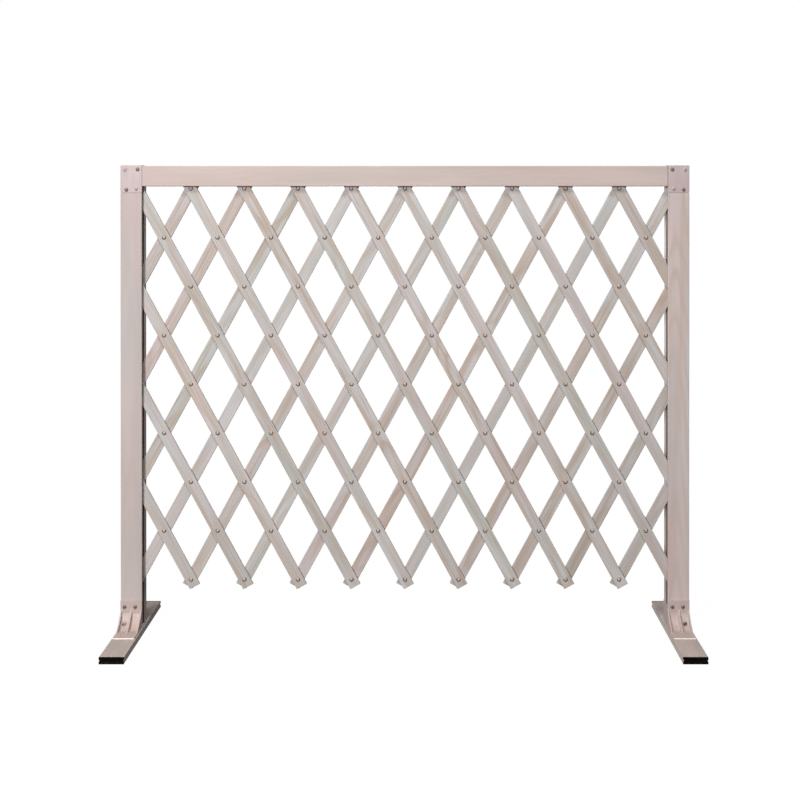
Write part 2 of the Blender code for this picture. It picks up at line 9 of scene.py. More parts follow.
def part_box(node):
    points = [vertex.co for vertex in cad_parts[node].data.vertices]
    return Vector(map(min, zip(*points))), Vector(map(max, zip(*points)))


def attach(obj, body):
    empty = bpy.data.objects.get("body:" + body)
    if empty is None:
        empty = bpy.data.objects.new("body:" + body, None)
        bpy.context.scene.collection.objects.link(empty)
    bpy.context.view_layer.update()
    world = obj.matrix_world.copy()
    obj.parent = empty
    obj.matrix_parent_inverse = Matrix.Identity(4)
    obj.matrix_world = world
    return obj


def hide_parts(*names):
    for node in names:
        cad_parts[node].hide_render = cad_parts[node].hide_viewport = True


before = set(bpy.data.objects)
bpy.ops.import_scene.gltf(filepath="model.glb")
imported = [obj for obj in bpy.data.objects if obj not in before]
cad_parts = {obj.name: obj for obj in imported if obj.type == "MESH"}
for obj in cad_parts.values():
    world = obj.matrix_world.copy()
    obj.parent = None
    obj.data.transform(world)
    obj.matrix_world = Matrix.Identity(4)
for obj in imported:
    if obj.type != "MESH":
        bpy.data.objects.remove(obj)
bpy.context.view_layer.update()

bpy.ops.object.select_all(action="DESELECT")


# View: seen from in front, a little right of the middle, with the horizon high in the picture. One lamp
# stands in front and well to the left, one hangs above the front, and the other two light the back and the
# right side. The surroundings are white, and the floor is a white sheet that fades out further off.

CAMERA_PLACE = (0.0444, -2.7583, 0.9259)
CAMERA_TILT = math.radians(0.21)
CAMERA_LENS = 58.82
CAMERA_SHIFT = (-0.0325, -0.2494)
VIEW_END = 60
LAMP_AIM = (0.0, 0.0, 0.5)

bpy.ops.object.camera_add(location=CAMERA_PLACE, rotation=(math.pi / 2 - CAMERA_TILT, 0, 0))
camera = bpy.context.object
camera.name = "front_camera"
camera.data.lens = CAMERA_LENS
camera.data.shift_x, camera.data.shift_y = CAMERA_SHIFT
camera.data.clip_end = VIEW_END
bpy.context.scene.camera = camera
bpy.context.scene.view_settings.view_transform = "Standard"


def add_lamp(name, place, size, power):
    """A square area lamp that faces the middle of the fence."""
    turn = (Vector(LAMP_AIM) - Vector(place)).to_track_quat("-Z", "Y").to_euler()
    bpy.ops.object.light_add(type="AREA", location=place, rotation=turn)
    lamp = bpy.context.object
    lamp.name = name
    lamp.data.size = size
    lamp.data.energy = power


add_lamp("key_lamp", place=(-1.95, -4.0, 1.9), size=0.7, power=140)
add_lamp("top_lamp", place=(-0.45, -2.25, 4.4), size=0.9, power=92)
add_lamp("back_lamp", place=(-0.5, 6.5, 0.3), size=0.5, power=165)
add_lamp("side_lamp", place=(3.6, -0.2, 0.6), size=0.8, power=11)


class Wire:
    """A shader value. Arithmetic on it adds Math nodes, and node() adds any other node to its tree."""

    def __init__(self, tree, socket=None):
        self.tree, self.socket = tree, socket

    def node(self, kind, settings, inputs, out=0):
        """Adds a node, makes its settings, fills its sockets by name or number, and returns one output."""
        made = self.tree.nodes.new("ShaderNode" + kind)
        for key, value in settings.items():
            setattr(made, key, value)
        for key, value in inputs.items():
            if isinstance(value, Wire):
                self.tree.links.new(value.socket, made.inputs[key])
            else:
                made.inputs[key].default_value = value
        return Wire(self.tree, made.outputs[out])

    def to(self, socket):
        self.tree.links.new(self.socket, socket)

    def math(self, operation, *values):
        return self.node("Math", {"operation": operation}, dict(enumerate(values)))

    def __add__(self, other):
        return self.math("ADD", self, other)

    def __sub__(self, other):
        return self.math("SUBTRACT", self, other)

    def __rsub__(self, other):
        return self.math("SUBTRACT", other, self)

    def __mul__(self, other):
        return self.math("MULTIPLY", self, other)

    def __pow__(self, other):
        return self.math("POWER", self, other)

    __radd__ = __add__
    __rmul__ = __mul__


AMBIENT = 0.10
FLOOR_WIDTH = 8
FLOOR_DROP = 0.0003
FLOOR_GREY = (0.2, 0.2, 0.2, 1)
FLOOR_GLOW = 0.9
FLOOR_WHITE = 1.1
FLOOR_CLEAR = (1.3, 2.6)
WHITE = (1, 1, 1, 1)

surroundings = bpy.data.worlds.new("white_surroundings")
surroundings.use_nodes = True
bpy.context.scene.world = surroundings
sky = Wire(surroundings.node_tree)
white_rays = (
    sky.node("LightPath", {}, {}, "Is Camera Ray")
    + sky.node("LightPath", {}, {}, "Is Glossy Ray")
    + sky.node("LightPath", {}, {}, "Is Transmission Ray")
)
backdrop = surroundings.node_tree.nodes["Background"]
backdrop.inputs["Color"].default_value = WHITE
(AMBIENT + (1 - AMBIENT) * white_rays.math("MINIMUM", white_rays, 1)).to(backdrop.inputs["Strength"])

bpy.ops.mesh.primitive_plane_add(size=FLOOR_WIDTH, location=(0, 0, -FLOOR_DROP))
floor = bpy.context.object
floor.name = "studio_floor"
paper = bpy.data.materials.new("white_paper")
paper.use_nodes = True
paper.node_tree.nodes.clear()
sheet = Wire(paper.node_tree)
matt = sheet.node("BsdfDiffuse", {}, {"Color": FLOOR_GREY})
glow = sheet.node("Emission", {}, {"Color": WHITE, "Strength": FLOOR_WHITE})
seen = sheet.node("LightPath", {}, {}, "Is Camera Ray") * FLOOR_GLOW
lit = sheet.node("MixShader", {}, {0: seen, 1: matt, 2: glow})
spot = sheet.node("TexCoord", {}, {}, "Object")
reach = sheet.node("VectorMath", {"operation": "LENGTH"}, {0: spot}, "Value")
faded = sheet.node(
    "MapRange", {"interpolation_type": "SMOOTHSTEP"},
    {"Value": reach, "From Min": FLOOR_CLEAR[0], "From Max": FLOOR_CLEAR[1]},
)
gone = sheet.node("BsdfTransparent", {}, {})
end = paper.node_tree.nodes.new("ShaderNodeOutputMaterial")
sheet.node("MixShader", {}, {0: faded, 1: lit, 2: gone}).to(end.inputs["Surface"])
floor.data.materials.append(paper)


# Posts: two straight softwood posts, 45 mm square with rounded corners and a deep groove down the inner
# face. The tops are cut back so that the corner caps lie flush. They are planed and stained a pale pinkish
# grey all over; inside the groove the wood is painted darker, as painted shade in the recess.

POST_LIP = 0.007
GROOVE_WIDTH = 0.0148
POST_GROOVE_DEPTH = 0.03156
WOOD_ROUNDING = 0.0016
CAP_WALL = 0.001
PIECE_GAP = 0.0003
SIDES = {"left": -1, "right": 1}

# Places within a hair of each other count as one, and edges that turn by more than this are rounded.
HAIR = 1e-5
SHARP = math.radians(30)


def linear(red, green, blue):
    """A colour as painted, in steps of 255, in the linear values that a shader takes."""
    values = [c / 255 for c in (red, green, blue)]
    return (*[v / 12.92 if v <= 0.04045 else ((v + 0.055) / 1.055) ** 2.4 for v in values], 1)


POST_STAIN = {
    "pale": linear(208, 196, 192),
    "pink": linear(206, 183, 182),
    "tan": linear(199, 179, 168),
    "grey": linear(197, 189, 187),
}
# A dark brown painted into the grooves as shade: it stands for the shadow deep inside them.
GROOVE_PAINTED_SHADE = linear(112, 92, 84)

# Seed, strength of figure and tone of each post: the left one is plain, the right one boldly figured.
POST_BOARDS = {"left": (11, 0.12, 0.97), "right": (24, 0.75, 1.07)}
RING_WIDTH = 0.0078
RING_SWAY = 0.014
RING_LEAN = 0.07


# A Mix node has sockets of three kinds; these are the numbers of its colours and of their mixture.
FIRST_COLOUR, SECOND_COLOUR, MIXED_COLOUR = 6, 7, 2


def blend(first, second, amount):
    """Mixes two colours of a finish."""
    inputs = {"Factor": amount, FIRST_COLOUR: first, SECOND_COLOUR: second}
    return amount.node("Mix", {"data_type": "RGBA"}, inputs, MIXED_COLOUR)


def new_finish(name, roughness, metallic=0.0, sheen=0.5):
    """A finish ready for its colour: the material, its shader and the place on the piece, in metres."""
    made = bpy.data.materials.new(name)
    made.use_nodes = True
    shader = made.node_tree.nodes["Principled BSDF"]
    shader.inputs["Roughness"].default_value = roughness
    shader.inputs["Metallic"].default_value = metallic
    shader.inputs["Specular IOR Level"].default_value = sheen
    return made, shader, Wire(made.node_tree).node("TexCoord", {}, {}, "Object")


def cloud(place, scale, detail=2.0):
    """Noise from 0 to 1 whose spots are as wide as one over each part of the scale, in metres."""
    stretched = place.node("VectorMath", {"operation": "MULTIPLY"}, {0: place, 1: scale})
    return place.node("TexNoise", {}, {"Vector": stretched, "Scale": 1.0, "Detail": detail})


def patches(place, scale, low, high):
    """The same noise drawn out between two levels, so that it lies in soft patches from 0 to 1."""
    noise = cloud(place, scale)
    return place.node("MapRange", {}, {"Value": noise, "From Min": low, "From Max": high})


def moved(place, by, turn=(0, 0, 0)):
    """The place on a piece, turned and moved, so that no two pieces show the same pattern."""
    return place.node("Mapping", {}, {"Vector": place, "Rotation": turn, "Location": by})


def raise_relief(shader, height, strength, depth):
    """Turns a height into fine relief on a finish."""
    bump = height.node("Bump", {}, {"Height": height, "Strength": strength, "Distance": depth})
    bump.to(shader.inputs["Normal"])


def stained_wood(name, turn, centre, stain, seed, fine, figure, tone=1.0, gloss=0.52):
    """Softwood under a thin pale stain. The turn lays the grain along Z, and fine narrows its figure."""
    draw = random.Random(seed)
    wood, shader, place = new_finish(name, gloss, sheen=0.01)
    from_heart = Vector((draw.uniform(-0.014, 0.014), draw.uniform(0.024, 0.048), draw.uniform(-4, 4)))
    place = moved(place, from_heart - Euler(turn).to_matrix() @ Vector(centre), turn)

    def spots(wide, long, low=0.40, high=0.66):
        return patches(place, (fine / wide, fine / wide, fine / long), low, high)

    # Growth rings waver and lean round the heart of the tree, a few centimetres beside the piece.
    across, inward, along = [place.node("SeparateXYZ", {}, {"Vector": place}, axis) for axis in "XYZ"]
    across = across + (cloud(place, (9, 9, 2.3)) - 0.5) * RING_SWAY
    radius = place.math("SQRT", across * across + inward * inward) + along * (RING_LEAN / fine - 0.02)
    radius = radius + (cloud(place, (4, 4, 2.6)) - 0.5) * 0.05
    rings = radius * (fine / RING_WIDTH) + cloud(place, (45, 45, 3)) * 0.8
    late = (0.5 + 0.5 * place.math("SINE", rings * math.tau)) ** 3

    # The stain is rosy, cool or warm in soft areas, and the finer wood also has thin warm streaks.
    rosy = spots(0.075, 0.55)
    cool = spots(0.030, 0.26)
    warm = spots(0.014, 0.22, 0.46, 0.66)
    streak = spots(0.0042, 0.13, 0.50, 0.68) * (1.0 if fine > 1 else 0.0)
    fibre = cloud(place, (560, 560, 9), detail=3.0)
    colour = blend(stain["pale"], stain["pink"], rosy * 0.85)
    colour = blend(colour, stain["grey"], cool * 0.80)
    colour = blend(colour, stain["tan"], warm * (0.2 + 0.7 * figure))
    colour = blend(colour, stain["tan"], late * (0.06 + figure * spots(0.060, 0.30)))
    colour = blend(colour, stain["tan"], streak * figure)

    # Fibres, broad clouds, streaks and rings make it a little lighter or darker.
    level = 0.955 * tone + 0.09 * fibre + 0.05 * (spots(0.020, 0.4, 0.3, 0.7) - 0.5)
    level = level - 0.10 * figure * streak - 0.05 * figure * late
    shade = place.node("CombineColor", {}, {channel: level for channel in range(3)})
    mixing = {"data_type": "RGBA", "blend_type": "MULTIPLY"}
    inputs = {"Factor": 1.0, FIRST_COLOUR: colour, SECOND_COLOUR: shade}
    place.node("Mix", mixing, inputs, MIXED_COLOUR).to(shader.inputs["Base Color"])
    (gloss + 0.14 * fibre + 0.05 * late).to(shader.inputs["Roughness"])
    raise_relief(shader, fibre * 0.6 + late * 0.3, strength=0.25, depth=0.0004)
    return wood


def take_up(piece):
    """Selects one piece alone and makes it active."""
    bpy.ops.object.select_all(action="DESELECT")
    piece.select_set(True)
    bpy.context.view_layer.objects.active = piece


def pick_faces(piece, wanted):
    """In edit mode, selects the faces whose middle passes a test."""
    bpy.ops.mesh.select_mode(type="FACE")
    bpy.ops.mesh.select_all(action="DESELECT")
    work = bmesh.from_edit_mesh(piece.data)
    for face in work.faces:
        face.select_set(wanted(face.calc_center_median()))
    bmesh.update_edit_mesh(piece.data)


def finish_faces(piece, finish, wanted):
    """Gives some faces of a piece a finish of their own."""
    piece.data.materials.append(finish)
    take_up(piece)
    bpy.ops.object.mode_set(mode="EDIT")
    pick_faces(piece, wanted)
    piece.active_material_index = len(piece.data.materials) - 1
    bpy.ops.object.material_slot_assign()
    bpy.ops.object.mode_set(mode="OBJECT")


def add_section(name, axis, low, high):
    """Adds a flat rectangle square to X or Z, ready to be cut to a section, between two corners."""
    bpy.ops.object.select_all(action="DESELECT")
    turn = {"X": (0, math.pi / 2, 0), "Z": (0, 0, 0)}[axis]
    middle = (Vector(low) + Vector(high)) / 2
    span = Vector(high) - Vector(low)
    bpy.ops.mesh.primitive_plane_add(size=1, location=middle, rotation=turn)
    piece = bpy.context.object
    piece.name = piece.data.name = name
    piece.scale = {"X": (span.z, span.y, 1), "Z": (span.x, span.y, 1)}[axis]
    bpy.ops.object.transform_apply(location=True, rotation=True, scale=True)
    bpy.ops.object.mode_set(mode="EDIT")
    return piece


def cut_section(cuts):
    """In edit mode, cuts the whole mesh along planes given by a point and a direction."""
    for point, direction in cuts:
        bpy.ops.mesh.select_all(action="SELECT")
        bpy.ops.mesh.bisect(plane_co=point, plane_no=direction)


def draw_out(offset):
    """In edit mode, extrudes the whole section into a solid, turns its faces outwards and leaves it."""
    bpy.ops.mesh.select_all(action="SELECT")
    bpy.ops.mesh.extrude_region_move(TRANSFORM_OT_translate={"value": offset})
    bpy.ops.mesh.select_all(action="SELECT")
    bpy.ops.mesh.normals_make_consistent(inside=False)
    bpy.ops.object.mode_set(mode="OBJECT")


def add_modifier(piece, kind, **settings):
    """Adds a modifier with its settings to a piece and applies it."""
    step = piece.modifiers.new("step", kind)
    for key, value in settings.items():
        setattr(step, key, value)
    take_up(piece)
    bpy.ops.object.modifier_apply(modifier=step.name)


def round_edges(piece, width, segments=3):
    """Rounds a piece's sharp edges, keeps its flat faces flat, and shades it smooth."""
    take_up(piece)
    bpy.ops.object.shade_smooth()
    add_modifier(
        piece, "BEVEL", width=width, segments=segments, limit_method="ANGLE",
        angle_limit=SHARP, harden_normals=True,
    )


def join_to(piece, other):
    """Joins a second solid to a piece, as one mesh."""
    take_up(piece)
    other.select_set(True)
    bpy.ops.object.join()


def hand_over(piece, body, slot, *nodes):
    """Fixes a finished piece to its body, in place of its solid."""
    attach(piece, body)
    if nodes:
        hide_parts(*nodes)


# The finish of the groove faces is painted shade, not a different stain.
groove_painted_shade, groove_shade_shader = new_finish("groove_painted_shade", roughness=0.75, sheen=0.02)[:2]
groove_shade_shader.inputs["Base Color"].default_value = GROOVE_PAINTED_SHADE


def add_grooved_post(name, side, low, high, cut_back):
    """A length of post between two heights, cut back on its front, back and outer face."""
    front, back = low.y + POST_LIP, low.y + POST_LIP + GROOVE_WIDTH
    inner = high.x if side < 0 else low.x
    bottom = inner + side * POST_GROOVE_DEPTH
    near = Vector((low.x + (cut_back if side < 0 else 0), low.y + cut_back, low.z))
    far = Vector((high.x - (cut_back if side > 0 else 0), high.y - cut_back, low.z))
    post = add_section(name, "Z", near, far)
    cut_section([((0, front, 0), (0, 1, 0)), ((0, back, 0), (0, 1, 0)), ((bottom, 0, 0), (1, 0, 0))])
    pick_faces(post, lambda c: front < c.y < back and (c.x - bottom) * side < 0)
    bpy.ops.mesh.delete(type="FACE")
    draw_out((0, 0, high.z - low.z))
    post.data.materials.append(None)
    # The faces inside the groove take the painted shade.
    finish_faces(
        post, groove_painted_shade,
        lambda c: front - HAIR < c.y < back + HAIR and (c.x - bottom) * side < HAIR
        and low.z + HAIR < c.z < high.z - HAIR,
    )
    return post


for hand, side in SIDES.items():
    low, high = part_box(hand + "_post")
    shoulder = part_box(hand + "_corner_cap")[0].z - PIECE_GAP
    seed, figure, tone = POST_BOARDS[hand]
    stain = stained_wood(
        hand + "_post_stain", (0, 0, 0), (low + high) / 2, POST_STAIN, seed, fine=0.8,
        figure=figure, tone=tone,
    )
    post = add_grooved_post(hand + "_post_wood", side, low, Vector((high.x, high.y, shoulder)), 0)
    crown_low = Vector((low.x, low.y, shoulder))
    crown = add_grooved_post(hand + "_post_crown", side, crown_low, high, CAP_WALL + PIECE_GAP)
    for solid in (post, crown):
        solid.data.materials[0] = stain
        round_edges(solid, WOOD_ROUNDING)
    join_to(post, crown)
    hand_over(post, "frame", "stained_frame_wood", hand + "_post")


# Top rail: the same wood with the same groove along its underside. Its shoulders butt against the posts,
# and a tongue at each end fills the post's groove.

RAIL_GROOVE_DEPTH = 0.01708
TONGUE_STEP = 0.001
TONGUE_ROUNDING = 0.0006
RAIL_STAIN = {
    "pale": linear(213, 196, 190),
    "pink": linear(211, 187, 180),
    "tan": linear(204, 182, 170),
    "grey": linear(200, 188, 183),
}

low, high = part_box("top_rail")
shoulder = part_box("right_post")[0].x - PIECE_GAP
front = low.y + POST_LIP
back = front + GROOVE_WIDTH
ceiling = low.z + RAIL_GROOVE_DEPTH
rail = add_section("top_rail_wood", "X", (-shoulder, low.y, low.z), (-shoulder, high.y, high.z))
cut_section([((0, front, 0), (0, 1, 0)), ((0, back, 0), (0, 1, 0)), ((0, 0, ceiling), (0, 0, 1))])
pick_faces(rail, lambda c: front < c.y < back and c.z < ceiling)
bpy.ops.mesh.delete(type="FACE")
draw_out((2 * shoulder, 0, 0))
rail.data.materials.append(stained_wood(
    "top_rail_stain", (0, math.pi / 2, 0), (low + high) / 2, RAIL_STAIN, seed=37, fine=0.8, figure=0.15
))
# The faces inside the rail's groove take the painted shade.
finish_faces(
    rail, groove_painted_shade,
    lambda c: front - HAIR < c.y < back + HAIR and c.z < ceiling + HAIR and abs(c.x) < shoulder - HAIR,
)
round_edges(rail, WOOD_ROUNDING)
hand_over(rail, "frame", "stained_frame_wood", "top_rail")

for hand, side in SIDES.items():
    tip, root = side * high.x, side * shoulder
    bottom, top = ceiling + TONGUE_STEP, high.z - TONGUE_STEP
    near = front + PIECE_GAP
    tongue = add_section(
        hand + "_rail_tongue", "X", (root, near, bottom), (root, back - PIECE_GAP, top)
    )
    draw_out((tip - root, 0, 0))
    tongue.data.materials.append(rail.data.materials[0])
    round_edges(tongue, TONGUE_ROUNDING, segments=2)
    hand_over(tongue, "frame", "stained_frame_wood")


# Lattice: thirteen laths that fall to the right lie in front of thirteen that fall to the left. Each is a
# thin softwood lath with eased edges and square ends, stained on all sides before the riveting, so every
# one has taken the stain in its own tone.

LATH_WIDTH = 0.0245
LATH_THICKNESS = 0.005
LATH_PITCH = 0.118
LATH_OVERHANG = 0.017
LATH_EASING = 0.0011
COLUMNS, ROWS = 10, 8
COLUMN_STEP = 0.113334
LEAN = math.asin(COLUMN_STEP / 2 / LATH_PITCH)
ROW_STEP = LATH_PITCH * math.cos(LEAN)
FIRST_COLUMN = -COLUMN_STEP * COLUMNS / 2
TOP_ROW = 0.941
LATH_PLANE = 0.01215
LATH_STAINS = [
    {"pale": linear(208, 204, 203), "pink": linear(203, 186, 186), "tan": linear(192, 174, 158),
     "grey": linear(193, 192, 190)},
    {"pale": linear(209, 204, 203), "pink": linear(207, 188, 187), "tan": linear(196, 174, 157),
     "grey": linear(194, 192, 189)},
    {"pale": linear(206, 204, 202), "pink": linear(200, 186, 186), "tan": linear(189, 174, 159),
     "grey": linear(189, 191, 187)},
]

# Within these limits, each lath has its own fineness, strength of figure and tone.
LATH_LIMITS = [(1.05, 1.5), (0.25, 0.85), (0.98, 1.04)]
FRONT_SEED, BACK_SEED = 100, 200


def crossing(column, row):
    """Where the middle of the lattice is at a column and a row, which may be halves."""
    return Vector((FIRST_COLUMN + column * COLUMN_STEP, LATH_PLANE, TOP_ROW - row * ROW_STEP))


def add_box(name, middle, size, turn=(0, 0, 0)):
    """Adds a box of a given size, turned about its middle."""
    bpy.ops.object.select_all(action="DESELECT")
    bpy.ops.mesh.primitive_cube_add(size=1, location=middle, rotation=turn)
    box = bpy.context.object
    box.name = box.data.name = name
    box.scale = size
    bpy.ops.object.transform_apply(location=True, rotation=True, scale=True)
    return box


def add_lath(name, top, bottom, layer, lean, seed):
    """A lath between two end rivets, in the front or back layer."""
    middle = (top + bottom) / 2 + Vector((0, layer * (LATH_THICKNESS + PIECE_GAP) / 2, 0))
    length = (top - bottom).length + 2 * LATH_OVERHANG
    lath = add_box(name + "_wood", middle, (LATH_WIDTH, LATH_THICKNESS, length), (0, lean, 0))
    draw = random.Random(seed)
    fine, figure, tone = [draw.uniform(*limits) for limits in LATH_LIMITS]
    stain = LATH_STAINS[seed % len(LATH_STAINS)]
    lath.data.materials.append(stained_wood(
        name + "_stain", (0, -lean, 0), middle, stain, seed, fine, figure, tone, gloss=0.6
    ))
    round_edges(lath, LATH_EASING)
    hand_over(lath, name, "stained_lattice_wood", name)


# For each row down, a front lath goes half a column to the right and a back lath half a column to the left.
FRONT_LATHS = range(1 - ROWS // 2, COLUMNS)
BACK_LATHS = range(1, COLUMNS + ROWS // 2)
front_rows = {n: range(max(0, -2 * n), min(ROWS, 2 * (COLUMNS - n)) + 1) for n in FRONT_LATHS}
back_rows = {n: range(max(0, 2 * (n - COLUMNS)), min(ROWS, 2 * n) + 1) for n in BACK_LATHS}

for number, lath in enumerate(FRONT_LATHS, 1):
    rows = front_rows[lath]
    ends = [crossing(lath + row / 2, row) for row in (rows[0], rows[-1])]
    add_lath("front_slat_" + str(number).zfill(2), *ends, -1, -LEAN, FRONT_SEED + number)
for number, lath in enumerate(BACK_LATHS, 1):
    rows = back_rows[lath]
    ends = [crossing(lath - row / 2, row) for row in (rows[0], rows[-1])]
    add_lath("back_slat_" + str(number).zfill(2), *ends, 1, LEAN, BACK_SEED + number)


# Rivets: a low domed head in front, a shank through both laths and a rolled tail on the back, of browned
# steel. The crown and upper part of each head are painted pale as light from above, and the rest of the
# head is painted dark as shade, darkest round the lower rim.
# One is turned and copied to every place where two laths cross; it stays with the front lath.

RIVET_CROWN = 0.0026
RIVET_HEAD_START = 0.0055
# The part of a head above this slope is painted light, as if lit from above.
RIVET_PAINTED_LIGHT_SLOPE, RIVET_PAINTED_LIGHT_RISE = 0.4, 0.0012
RIVET_ROLL = math.radians(28)
RIVET_SEED = 5
TURNED_CREASE = math.radians(50)
RIVET_PROFILE = [
    (0.0, -0.00735), (0.0013, -0.00731), (0.0022, -0.00712), (0.0030, -0.00672), (0.0038, -0.00612),
    (0.0044, -0.00550), (0.0046, -0.00515), (0.0021, -0.00515), (0.0021, 0.00545), (0.0036, 0.00545),
    (0.0037, 0.0058), (0.0034, 0.0063), (0.0027, 0.0066), (0.0019, 0.0063), (0.0013, 0.0057),
    (0.0, 0.0056),
]


def draw_line(name, points):
    """Draws a line of edges point by point, and stays in edit mode with its last point selected."""
    bpy.ops.object.select_all(action="DESELECT")
    bpy.ops.mesh.primitive_plane_add(size=1, location=(0, 0, 0))
    piece = bpy.context.object
    piece.name = piece.data.name = name
    bpy.ops.object.mode_set(mode="EDIT")
    bpy.ops.mesh.select_all(action="SELECT")
    bpy.ops.mesh.merge(type="CENTER")
    bpy.ops.mesh.select_mode(type="VERT")
    bpy.ops.mesh.select_all(action="SELECT")
    bpy.ops.transform.translate(value=points[0])
    for before, after in zip(points, points[1:]):
        step = Vector(after) - Vector(before)
        bpy.ops.mesh.extrude_region_move(TRANSFORM_OT_translate={"value": step})
    return piece


def add_turned(name, profile, place, sides=20):
    """Turns a profile of radius and depth once round an axis along Y, and closes it."""
    piece = draw_line(name, [(radius, depth, 0) for radius, depth in profile])
    bpy.ops.mesh.select_all(action="SELECT")
    bpy.ops.mesh.spin(steps=sides, angle=math.tau, center=(0, 0, 0), axis=(0, 1, 0))
    bpy.ops.mesh.select_all(action="SELECT")
    bpy.ops.mesh.remove_doubles(threshold=1e-6)
    bpy.ops.mesh.normals_make_consistent(inside=False)
    bpy.ops.mesh.select_all(action="SELECT")
    bpy.ops.transform.translate(value=place)
    bpy.ops.object.mode_set(mode="OBJECT")
    bpy.ops.object.shade_smooth_by_angle(angle=TURNED_CREASE)
    return piece


def add_copy(first, name, start, place, roll):
    """A copy of a finished turned piece with its own mesh, at another place and rolled about its axis."""
    copy = first.copy()
    copy.data = first.data.copy()
    copy.name = copy.data.name = name
    turn = Matrix.Rotation(roll, 4, "Y")
    copy.data.transform(Matrix.Translation(place) @ turn @ Matrix.Translation(-start))
    bpy.context.collection.objects.link(copy)
    return copy


def browned_steel(name, colour, bright, roughness):
    """Steel with a thin brown skin, worn brighter in spots."""
    steel, shader, place = new_finish(name, roughness, metallic=0.5)
    worn = patches(place, (420, 420, 420), 0.4, 0.7)
    blend(colour, bright, worn).to(shader.inputs["Base Color"])
    (roughness + 0.2 * worn).to(shader.inputs["Roughness"])
    return steel


def stained_metal(name, colour, speck, roughness=0.5):
    """A pale finish with fine specks: stain over the hidden screws, and painted light on rivet heads and
    shoe noses.
    """
    metal, shader, place = new_finish(name, roughness)
    thin = patches(place, (700, 700, 700), 0.5, 0.75)
    blend(colour, speck, thin * 0.7).to(shader.inputs["Base Color"])
    (roughness - 0.12 * thin).to(shader.inputs["Roughness"])
    return metal


def keeps_stain(face):
    """Whether a face, placed from its rivet's middle, is on the crown or upper part, which take painted
    light.
    """
    on_crown = Vector((face.x, face.z)).length < RIVET_CROWN
    on_upper_part = face.z > RIVET_PAINTED_LIGHT_SLOPE * abs(face.x) + RIVET_PAINTED_LIGHT_RISE
    return face.y < -RIVET_HEAD_START and (on_crown or on_upper_part)


# The head's dark brown is painted shade, and the pale crown and upper part are painted light.
rivet_shade_paint = browned_steel("rivet_head_painted_shade", linear(46, 35, 32), linear(78, 62, 55), roughness=0.45)
rivet_light_paint = stained_metal("rivet_head_painted_light", linear(188, 176, 170), linear(120, 104, 96))
draw = random.Random(RIVET_SEED)
first_rivet = None
for number, lath in enumerate(FRONT_LATHS, 1):
    for row in front_rows[lath]:
        crossed = lath + row
        if crossed not in BACK_LATHS:
            continue
        place = crossing(lath + row / 2, row)
        name = "rivet_row_" + str(row) + "_back_" + str(BACK_LATHS.index(crossed) + 1).zfill(2)
        if first_rivet is None:
            rivet = first_rivet = add_turned(name, RIVET_PROFILE, place)
            start = place
            rivet.data.materials.append(rivet_shade_paint)
            finish_faces(rivet, rivet_light_paint, lambda c: keeps_stain(c - start))
        else:
            rivet = add_copy(first_rivet, name, start, place, draw.uniform(-RIVET_ROLL, RIVET_ROLL))
        hand_over(rivet, "front_slat_" + str(number).zfill(2), "dark_screw")


# Corner caps: thin sheet folded over the top of each post, on its front, back, outer side and top, and
# coated in the colour of the wood. The folds are rounded and the sheet ends square below.

CAP_FOLD = 0.0016
CAP_EDGE = 0.00018
COAT_ROUGHNESS = 0.46
COAT_SEED = 3
COAT = {"plain": linear(201, 184, 183), "rosy": linear(199, 177, 178), "cool": linear(193, 179, 179)}


def coated(name, seed):
    """A thin matt coat over metal, a little uneven, with the faintest orange peel."""
    metal, shader, place = new_finish(name, COAT_ROUGHNESS, sheen=0.25)
    place = moved(place, (seed, seed, seed))
    broad = patches(place, (32, 32, 12), 0.38, 0.66)
    cool = patches(place, (85, 85, 26), 0.38, 0.66)
    colour = blend(COAT["plain"], COAT["rosy"], broad)
    blend(colour, COAT["cool"], cool * 0.6).to(shader.inputs["Base Color"])
    peel = cloud(place, (900, 900, 900), detail=1.0)
    (COAT_ROUGHNESS + 0.10 * cool + 0.05 * peel).to(shader.inputs["Roughness"])
    raise_relief(shader, peel, strength=0.12, depth=0.0002)
    return metal


for hand, side in SIDES.items():
    low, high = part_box(hand + "_corner_cap")
    inner = high.x if side < 0 else low.x
    cap = add_box(hand + "_corner_cap_sheet", (low + high) / 2, high - low)
    bpy.ops.object.mode_set(mode="EDIT")
    pick_faces(cap, lambda c: abs(c.x - inner) < HAIR or abs(c.z - low.z) < HAIR)
    bpy.ops.mesh.delete(type="FACE")
    bpy.ops.object.mode_set(mode="OBJECT")
    add_modifier(cap, "BEVEL", width=CAP_FOLD, segments=4, limit_method="ANGLE", angle_limit=SHARP)
    add_modifier(cap, "SOLIDIFY", thickness=CAP_WALL, offset=-1.0, use_even_offset=True)
    round_edges(cap, CAP_EDGE, segments=2)
    cap.data.materials.append(coated(hand + "_corner_cap_coat", COAT_SEED + side))
    hand_over(cap, "frame", "coated_cap", hand + "_corner_cap")


# Screws: low round heads with a cross recess, of browned steel, four in each corner cap and three in each
# shoe. The upper outer and lower inner ones of each cap were stained over with the wood and hardly show.
# One is turned, its cross is cut, and it is copied to the places of the others.

SCREW_PROFILE = [
    (0.0, -0.0023), (0.0012, -0.00226), (0.0022, -0.00208), (0.0030, -0.00172), (0.0036, -0.0012),
    (0.0039, -0.0006), (0.0040, -0.0001), (0.0038, 0.0), (0.0019, 0.0), (0.0019, 0.0045), (0.0, 0.0060),
]
HEAD_HEIGHT = -SCREW_PROFILE[0][1]
HEAD_PROUD = 0.0001
CROSS_LENGTH, CROSS_WIDTH, CROSS_DEPTH = 0.0038, 0.0009, 0.0013
CUT_CLEAR = 0.001
SCREW_SEED = 8
SCREW_CREASE = math.radians(35)


